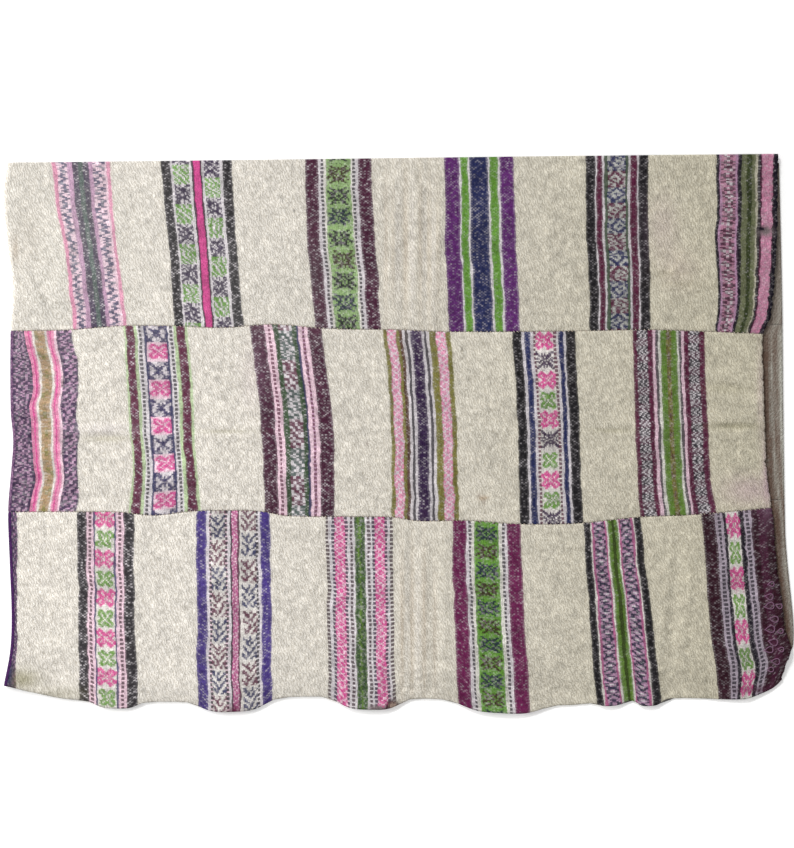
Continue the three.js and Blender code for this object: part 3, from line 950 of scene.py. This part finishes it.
def sheet_mesh(name, points, normals, cloth, cells, cream, uv, open_end):
    """A closed sheet round a grid of middle points. Its inner side has fewer columns, but for
    the first ones, which the upper layer leaves open."""
    count, rows = points.shape[:2]
    half = np.full((count, rows), cloth / 2 * MM)
    half[:, [0, -1]] *= THIN_EDGE
    half[[0, -1], :] *= THIN_EDGE
    outer = points + normals * half[..., None]
    inner = points - normals * half[..., None]
    kept = [*range(open_end), *range(open_end, count - 1, INNER_EVERY), count - 1]
    vertices = np.concatenate([outer.reshape(-1, 3), inner[kept].reshape(-1, 3)])

    def out(i, j):
        return i * rows + j

    base = count * rows
    faces, colours, is_cream, corners_uv = [], [], [], []
    # Wool yarn has no hard edge, so each corner of a cell leans to the mean of the cells there.
    around = centres(np.pad(cells, ((1, 1), (1, 1), (0, 0)), mode="edge"))

    def add(face, i, j, places):
        faces.append(face)
        is_cream.append(cream[i, j])
        for a, b in places:
            colours.append(mix(cells[i, j], around[a, b], SOFT_EDGE))
            corners_uv.append(uv[a, b])

    for i in range(count - 1):
        for j in range(rows - 1):
            add(
                (out(i, j), out(i, j + 1), out(i + 1, j + 1), out(i + 1, j)), i, j,
                ((i, j), (i, j + 1), (i + 1, j + 1), (i + 1, j)),
            )
    for k, (i, n) in enumerate(zip(kept, kept[1:])):
        for j in range(rows - 1):
            a, b = base + k * rows + j, base + (k + 1) * rows + j
            add((a, b, b + 1, a + 1), i, j, ((i, j), (n, j), (n, j + 1), (i, j + 1)))
        for j, cell in ((0, 0), (rows - 1, rows - 2)):
            a, b = base + k * rows + j, base + (k + 1) * rows + j
            face = [out(m, j) for m in range(i, n + 1)] + [b, a]
            places = [(m, j) for m in range(i, n + 1)] + [(n, j), (i, j)]
            if j:
                face, places = face[::-1], places[::-1]
            add(tuple(face), i, cell, places)
    last = base + (len(kept) - 1) * rows
    for j in range(rows - 1):
        add(
            (base + j, base + j + 1, out(0, j + 1), out(0, j)), 0, j,
            ((0, j), (0, j + 1), (0, j + 1), (0, j)),
        )
        i = count - 1
        add(
            (out(i, j), out(i, j + 1), last + j + 1, last + j), i - 1, j,
            ((i, j), (i, j + 1), (i, j + 1), (i, j)),
        )
    mesh = bpy.data.meshes.new(name)
    mesh.from_pydata(vertices.tolist(), [], faces)
    sizes = np.array([len(face) for face in faces])
    shown = np.ones((sizes.sum(), 4))
    shown[:, :3] = np.array(colours)
    layer = mesh.attributes.new("yarn", "FLOAT_COLOR", "CORNER")
    layer.data.foreach_set("color", shown.ravel())
    flat = mesh.uv_layers.new(name="cloth")
    flat.uv.foreach_set("vector", np.array(corners_uv).ravel())
    mesh.polygons.foreach_set("material_index", np.where(is_cream, 0, 1).astype(int))
    mesh.polygons.foreach_set("use_smooth", np.ones(len(faces), bool))
    mesh.validate()
    mesh.update()
    return mesh


def placed(name, data):
    """A new object in the current collection."""
    made = bpy.data.objects.new(name, data)
    bpy.context.collection.objects.link(made)
    return made


def make_panel(panel, weave, yarns, materials):
    """One woven length, folded once."""
    rng = np.random.default_rng(panel.seed)
    v, turn, ux, uy, uz, upper_cells, upper_cream = upper_layer(panel, weave, yarns, rng)
    lx, ly, lz, lower_cells, lower_cream = lower_layer(panel, weave, v, turn, yarns, rng)
    x, y, z = (np.concatenate(pair) for pair in ((lx, ux), (ly, uy), (lz, uz)))
    cells = np.concatenate([lower_cells, upper_cells])
    cream = np.concatenate([lower_cream, upper_cream])
    points = to_xyz(x, y, z)
    ahead = np.concatenate([points[1:], points[-1:]])
    behind = np.concatenate([points[:1], points[:-1]])
    along = ahead - behind
    size = np.hypot(along[..., 0], along[..., 2])
    normals = np.stack(
        [-along[..., 2] / size, np.zeros_like(size), along[..., 0] / size], axis=-1
    )
    step = np.linalg.norm(points[1:] - points[:-1], axis=-1).mean(axis=1)
    run = np.concatenate([[0.0], np.cumsum(step)])
    width = float(panel.far(0.0) - panel.near(0.0)) * MM
    uv = np.stack(np.meshgrid(run, v * width, indexing="ij"), axis=-1)
    open_end = int((lx.mean(axis=1) > CUT_END_COLUMNS[0]).sum())
    mesh = sheet_mesh(panel.node, points, normals, weave.cloth, cells, cream, uv, open_end)
    piece = placed(panel.node.replace("panel", "cloth"), mesh)
    for material in materials:
        mesh.materials.append(material)
    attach(piece, "root")
    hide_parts(panel.node)
    return piece


def node(tree, kind, inputs=None, **settings):
    """Adds a node, with its settings, its input values and its links."""
    made = tree.nodes.new(kind)
    for key, value in settings.items():
        setattr(made, key, value)
    for key, value in (inputs or {}).items():
        socket = made.inputs[key]
        if isinstance(value, bpy.types.NodeSocket):
            tree.links.new(value, socket)
        else:
            socket.default_value = value
    return made


def new_material(name):
    """An empty material and its node tree."""
    material = bpy.data.materials.new(name)
    material.use_nodes = True
    material.node_tree.nodes.clear()
    return material, material.node_tree


def scaled_uv(tree, u_mm, v_mm, turn=0.0):
    """The cloth's own coordinates, in steps of u_mm along a panel and v_mm across it."""
    place = node(tree, "ShaderNodeUVMap", uv_map="cloth")
    turned = node(
        tree, "ShaderNodeVectorRotate",
        {"Vector": place.outputs["UV"], "Angle": math.radians(turn)}, rotation_type="Z_AXIS",
    )
    return node(
        tree, "ShaderNodeVectorMath",
        {0: turned.outputs["Vector"], 1: (1 / (u_mm * MM), 1 / (v_mm * MM), 1.0)},
        operation="MULTIPLY",
    ).outputs["Vector"]


def noise(tree, vector, scale, detail, roughness, distortion=0.0):
    """Cloudy noise, from 0 to 1."""
    return node(
        tree, "ShaderNodeTexNoise",
        {"Vector": vector, "Scale": scale, "Detail": detail, "Roughness": roughness,
         "Distortion": distortion},
    ).outputs["Fac"]


def blend(tree, share, first, second):
    """A colour between two others."""
    return node(
        tree, "ShaderNodeMix", {"Factor": share, "A": (*first, 1.0), "B": (*second, 1.0)},
        data_type="RGBA",
    ).outputs[2]


def yarn_colour(tree):
    """The colour that a cell of the cloth was woven in."""
    return node(tree, "ShaderNodeAttribute", attribute_name="yarn").outputs["Color"]


def surface(tree, inputs):
    """Ends a material with its shader."""
    shader = node(tree, "ShaderNodeBsdfPrincipled", inputs)
    node(tree, "ShaderNodeOutputMaterial", {"Surface": shader.outputs["BSDF"]})


def felted_ground():
    """Felted wool twill: undyed, fulled after weaving, so that its ribs are soft streaks
    under a short nap. It is matt, with a pale sheen where the nap catches the light."""
    material, tree = new_material("felted_wool_twill")
    ribs = node(
        tree, "ShaderNodeTexWave",
        {"Vector": scaled_uv(tree, 5.8, 5.8, 24), "Scale": 0.314, "Distortion": 10.0,
         "Detail": 2.0, "Detail Scale": 1.6, "Detail Roughness": 0.6},
    ).outputs["Fac"]
    fibres = noise(tree, scaled_uv(tree, 2.6, 5.5, -8), 1.0, 2.5, 0.7, 0.6)
    both = node(
        tree, "ShaderNodeMath", {0: ribs, 1: 0.4, 2: fibres}, operation="MULTIPLY_ADD"
    ).outputs[0]
    tone = node(
        tree, "ShaderNodeMapRange", {"Value": both, "From Min": 0.35, "From Max": 1.05}
    ).outputs["Result"]
    # The colour follows the bump's height: hollows between the fibres are painted darker and
    # warmer as painted shade, and the tips lighter as painted highlight.
    tint = blend(tree, tone, (0.72, 0.69, 0.63), (1.25, 1.25, 1.24))
    shade = node(
        tree, "ShaderNodeVectorMath", {0: yarn_colour(tree), 1: tint}, operation="MULTIPLY"
    ).outputs["Vector"]
    relief = node(
        tree, "ShaderNodeBump", {"Height": both, "Strength": 0.9, "Distance": 1.4 * MM}
    ).outputs["Normal"]
    surface(
        tree,
        {"Base Color": shade, "Roughness": 0.92, "Normal": relief, "Sheen Weight": 0.1,
         "Sheen Roughness": 0.6, "Specular IOR Level": 0.1},
    )
    return material


def dyed_bands():
    """Dyed wool weft: coarse picks packed over a pale warp. Each pick is a short rounded
    float, so the bands look beaded close up, and the dye varies along the yarn."""
    material, tree = new_material("dyed_wool_weft")
    uptake = noise(tree, scaled_uv(tree, 2.4, 4.5, 14), 1.0, 3.0, 0.65)
    tone = node(
        tree, "ShaderNodeMapRange",
        {"Value": uptake, "From Min": 0.3, "From Max": 0.7, "To Min": 0.62, "To Max": 1.3},
    ).outputs["Result"]
    shade = node(
        tree, "ShaderNodeVectorMath", {0: yarn_colour(tree), "Scale": tone}, operation="SCALE"
    ).outputs["Vector"]
    picks = node(
        tree, "ShaderNodeTexVoronoi",
        {"Vector": scaled_uv(tree, 3.6, 3.3), "Scale": 1.0, "Randomness": 0.35},
    ).outputs["Distance"]
    relief = node(
        tree, "ShaderNodeBump",
        {"Height": picks, "Strength": 0.6, "Distance": 1.2 * MM}, invert=True,
    ).outputs["Normal"]
    surface(
        tree,
        {"Base Color": shade, "Roughness": 0.85, "Normal": relief, "Specular IOR Level": 0.06},
    )
    return material


def plied_wool(name, colour, dark):
    """Plied wool yarn: two spun strands twisted together, so its shade changes in short
    slanting steps along the yarn."""
    material, tree = new_material(name)
    place = node(tree, "ShaderNodeTexCoord").outputs["Object"]
    shade = blend(tree, noise(tree, place, 1 / (1.4 * MM), 2.0, 0.5), dark, colour)
    surface(
        tree,
        {"Base Color": shade, "Roughness": 0.85, "Sheen Weight": 0.3, "Specular IOR Level": 0.2},
    )
    return material


# How thick a yarn's end is, as a share of the yarn.
TIP = 0.45


def tube(path, radius, sides=6):
    """A closed tube round a path of points: its rings of vertices and its faces."""
    path = np.array(path, float)
    ahead = np.gradient(path, axis=0)
    ahead /= np.linalg.norm(ahead, axis=1)[:, None]
    aside = np.cross(ahead, (0.0, 0.0, 1.0))
    aside /= np.maximum(np.linalg.norm(aside, axis=1), 1e-9)[:, None]
    above = np.cross(aside, ahead)
    turns = 2 * np.pi * np.arange(sides) / sides
    taper = np.ones(len(path))
    taper[[0, -1]] = TIP
    cosines, sines = (part[None, :, None] for part in (np.cos(turns), np.sin(turns)))
    spokes = cosines * aside[:, None] + sines * above[:, None]
    rings = path[:, None] + radius * taper[:, None, None] * spokes
    faces = [
        (k * sides + s, k * sides + (s + 1) % sides, (k + 1) * sides + (s + 1) % sides,
         (k + 1) * sides + s)
        for k in range(len(path) - 1)
        for s in range(sides)
    ]
    faces.append(tuple(range(sides))[::-1])
    faces.append(tuple((len(path) - 1) * sides + s for s in range(sides)))
    return rings.reshape(-1, 3), faces


def yarn_piece(name, paths, radius, material):
    """Many short yarns as one mesh. Each path is in mm, in the cloth's own coordinates."""
    vertices, faces, base = [], [], 0
    for path in paths:
        points, quads = tube(path, radius)
        vertices.append(points)
        faces.extend(tuple(base + corner for corner in quad) for quad in quads)
        base += len(points)
    vertices = np.concatenate(vertices)
    mesh = bpy.data.meshes.new(name)
    mesh.from_pydata(to_xyz(*vertices.T).tolist(), [], faces)
    mesh.polygons.foreach_set("use_smooth", np.ones(len(faces), bool))
    mesh.materials.append(material)
    mesh.update()
    piece = placed(name, mesh)
    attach(piece, "root")
    return piece


def cloth_top(weave, panel, x, y):
    """Height of the upper layer's face at a place on a panel."""
    v = float((panel.far(x) - y) / (panel.far(x) - panel.near(x)))
    turn = float(weave.fold_x(panel, v))
    return float(weave.height(x, y, v, turn)) + weave.cloth / 2


# Where the sewing starts and ends beside the fold and the cut end, how much a stitch's place,
# slant and reach vary, how far it goes past the seam's middle and how it lies in the cloth.
SEWN_FROM, SEWN_TO, STITCH_SHIFT = 8, 6, 0.2
STITCH_LEAN, STITCH_REACH, PAST_SEAM = (1.2, 2.6), (1.6, 2.6), 0.4
STITCH_DEPTH, STITCH_ARCH, STITCH_POINTS = 0.9, 0.7, 5


def sew_seam(name, weave, sizes, panel, material, rng):
    """Overcast stitches of wool that join a panel to the next one."""
    start = float(weave.fold_x(panel, 1.0)) + SEWN_FROM
    end = float(weave.end_x(panel, 1.0)) - SEWN_TO
    step = sizes.stitch / MM
    paths = []
    for k in range(int((end - start) / step)):
        x = start + (k + rng.uniform(-STITCH_SHIFT, STITCH_SHIFT)) * step
        y = float(panel.near(x))
        lean, reach = rng.uniform(*STITCH_LEAN), rng.uniform(*STITCH_REACH)
        path = []
        for t in np.linspace(-1, 1, STITCH_POINTS):
            edge = np.clip(t, -0.98, 0.0) * -reach + PAST_SEAM
            top = cloth_top(weave, panel, x + lean * t, y + edge)
            lift = STITCH_ARCH * (1 - t * t) - STITCH_DEPTH
            path.append((x + lean * t, y - reach * t, top + lift))
        paths.append(path)
    return yarn_piece(name, paths, sizes.thread / MM / 2, material)


# Pulled loops of weft: the root, reach towards the cut end, half width and turn in degrees.
Loop = namedtuple("Loop", "x y reach half turn")
LOOPS = [Loop(*row) for row in (
    (736, -300, 14, 7, 8), (730, -322, 18, 9, -10), (728, -345, 22, 10, 12),
    (738, -368, 20, 9, -4), (729, -390, 22, 10, 6), (736, -412, 21, 10, -12),
    (728, -432, 20, 9, 10), (742, -452, 19, 9, -6), (734, -470, 15, 7, 4),
    (752, -340, 14, 7, -18), (754, -395, 14, 7, 16), (756, -428, 13, 7, -8),
)]

# A loop's fullness and the width of its neck, as shares of its half width, and how deep its
# root and how high its arch lie. Past the last x the cloth ends.
LOOP_POINTS, LOOP_BULGE, LOOP_NECK = 17, 0.8, 0.5
LOOP_DEPTH, LOOP_ARCH, CLOTH_TO = 0.5, 1.8, 758


def pull_loops(weave, sizes, panel, material):
    """Loops of weft that have worked loose along the cut end."""
    paths = []
    for loop in LOOPS:
        turn = math.radians(loop.turn)
        path = []
        for t in np.linspace(0, 1, LOOP_POINTS):
            along = loop.reach * math.sin(math.pi * t)
            aside = loop.half * (LOOP_NECK * (0.5 - t) - LOOP_BULGE * math.sin(2 * math.pi * t))
            x = loop.x + along * math.cos(turn) - aside * math.sin(turn)
            y = loop.y + along * math.sin(turn) + aside * math.cos(turn)
            top = cloth_top(weave, panel, min(x, CLOTH_TO), y)
            path.append((x, y, top - LOOP_DEPTH + LOOP_ARCH * math.sin(math.pi * t)))
        paths.append(path)
    return yarn_piece("pulled_loops", paths, sizes.loop_yarn / MM / 2, material)


class RUG_OT_sew_seams(bpy.types.Operator):
    """Sew the panels together with overcast stitches"""

    bl_idname = "rug.sew_seams"
    bl_label = "Sew seams"

    def execute(self, context):
        sizes, yarns = context.scene.rug_sizes, context.scene.rug_yarns
        weave = Weave(sizes)
        wool = plied_wool("sewing_wool", yarns.cream, yarns.tan)
        rng = np.random.default_rng(21)
        for name, panel in zip(("stitches_far", "stitches_near"), PANELS):
            sew_seam(name, weave, sizes, panel, wool, rng)
        return {"FINISHED"}


class RUG_OT_pull_loops(bpy.types.Operator):
    """Pull loops of weft out of the near panel's cut end"""

    bl_idname = "rug.pull_loops"
    bl_label = "Pull loops"

    def execute(self, context):
        sizes, yarns = context.scene.rug_sizes, context.scene.rug_yarns
        wool = plied_wool("pulled_wool", yarns.heather, yarns.plum)
        pull_loops(Weave(sizes), sizes, PANELS[-1], wool)
        return {"FINISHED"}


class RUG_OT_weave_panels(bpy.types.Operator):
    """Weave the three panels and fold them once"""

    bl_idname = "rug.weave_panels"
    bl_label = "Weave panels"

    def execute(self, context):
        weave = Weave(context.scene.rug_sizes)
        materials = (felted_ground(), dyed_bands())
        for panel in PANELS:
            make_panel(panel, weave, context.scene.rug_yarns, materials)
        return {"FINISHED"}


# The floor's half width and how far it lies below the rug, in metres, and the sky's light.
FLOOR_HALF, FLOOR_DROP, SKY = 12.0, 0.5 * MM, 0.4
# Each lamp's name, place, aim, size in metres, power and colour.
LAMPS = (
    ("window", (-2.6, 0.3, 1.5), (-0.3, 0.0, 0.0), 1.2, 52.0, (1.0, 0.99, 0.98)),
    ("overhead", (0.2, -0.8, 3.0), (0.0, 0.0, 0.0), 1.6, 12.0, (1.0, 0.98, 0.95)),
)
SUN_FROM, SUN_POWER, SUN_SIZE = (-0.5, 0.85, 0.75), 2.0, math.radians(14)
# The picture's height in pixels, one pixel of it in mm, and its middle on the rug as drawn,
# in mm. The eye is some metres up, and the sensor is in mm.
PICTURE_PIXELS, PIXEL, PICTURE_MIDDLE = 848, 2.0, (-3.0, 21.0)
EYE_HEIGHT, SENSOR = 7.0, 36.0


def aimed(name, data, direction):
    """An object turned so that its light comes from a direction."""
    made = placed(name, data)
    made.rotation_euler = Vector(direction).to_track_quat("Z", "Y").to_euler()
    return made


class RUG_OT_set_stage(bpy.types.Operator):
    """Set a pale floor, soft light and a camera straight above the rug"""

    bl_idname = "rug.set_stage"
    bl_label = "Set stage"

    def execute(self, context):
        scene = context.scene
        material, tree = new_material("white_paper_sweep")
        surface(
            tree,
            {"Base Color": (0.92, 0.92, 0.92, 1.0), "Roughness": 0.9, "Specular IOR Level": 0.1,
             "Emission Color": (1.0, 1.0, 1.0, 1.0), "Emission Strength": 0.22},
        )
        mesh = bpy.data.meshes.new("floor")
        signs = ((-1, -1), (1, -1), (1, 1), (-1, 1))
        corners = [(FLOOR_HALF * x, FLOOR_HALF * y, 0) for x, y in signs]
        mesh.from_pydata(corners, [], [(0, 1, 2, 3)])
        mesh.materials.append(material)
        floor = placed("floor", mesh)
        floor.location.z = -FLOOR_DROP

        scene.world = bpy.data.worlds.new("studio")
        scene.world.use_nodes = True
        sky = scene.world.node_tree.nodes["Background"]
        sky.inputs["Color"].default_value = (1.0, 1.0, 1.0, 1.0)
        sky.inputs["Strength"].default_value = SKY
        for name, place, aim, size, power, tint in LAMPS:
            lamp = bpy.data.lights.new(name, "AREA")
            lamp.size = size
            lamp.energy = power
            lamp.color = tint
            aimed(name, lamp, Vector(place) - Vector(aim)).location = place
        lamp = bpy.data.lights.new("skylight", "SUN")
        lamp.energy = SUN_POWER
        lamp.angle = SUN_SIZE
        aimed("skylight", lamp, SUN_FROM)

        camera = bpy.data.cameras.new("camera")
        camera.sensor_fit = "VERTICAL"
        camera.sensor_height = SENSOR
        camera.lens = SENSOR * EYE_HEIGHT / (PICTURE_PIXELS * PIXEL * MM)
        camera.clip_end = 100.0
        scene.camera = placed("camera", camera)
        x, y = (MM * (middle + centre) for middle, centre in zip(PICTURE_MIDDLE, CENTRE))
        scene.camera.location = (x, y, EYE_HEIGHT)
        scene.view_settings.view_transform = "Standard"
        return {"FINISHED"}


class RUG_PT_panel(bpy.types.Panel):
    """Lists the rug's sizes, yarns and steps"""

    bl_idname = "RUG_PT_panel"
    bl_label = "Banded wool rug"
    bl_space_type = "VIEW_3D"
    bl_region_type = "UI"
    bl_category = "Rug"

    def draw(self, context):
        for group in (context.scene.rug_sizes, context.scene.rug_yarns):
            box = self.layout.box()
            for name in group.__annotations__:
                box.prop(group, name)
        for operator in OPERATORS:
            self.layout.operator(operator.bl_idname)


OPERATORS = (RUG_OT_set_stage, RUG_OT_weave_panels, RUG_OT_sew_seams, RUG_OT_pull_loops)
CLASSES = (RugYarns, RugSizes, *OPERATORS, RUG_PT_panel)


def register():
    for item in CLASSES:
        bpy.utils.register_class(item)
    bpy.types.Scene.rug_yarns = bpy.props.PointerProperty(type=RugYarns)
    bpy.types.Scene.rug_sizes = bpy.props.PointerProperty(type=RugSizes)


def unregister():
    del bpy.types.Scene.rug_sizes
    del bpy.types.Scene.rug_yarns
    for item in reversed(CLASSES):
        bpy.utils.unregister_class(item)


def main():
    register()
    bpy.ops.rug.set_stage()
    bpy.ops.rug.weave_panels()
    bpy.ops.rug.sew_seams()
    bpy.ops.rug.pull_loops()


if __name__ == "__main__":
    main()
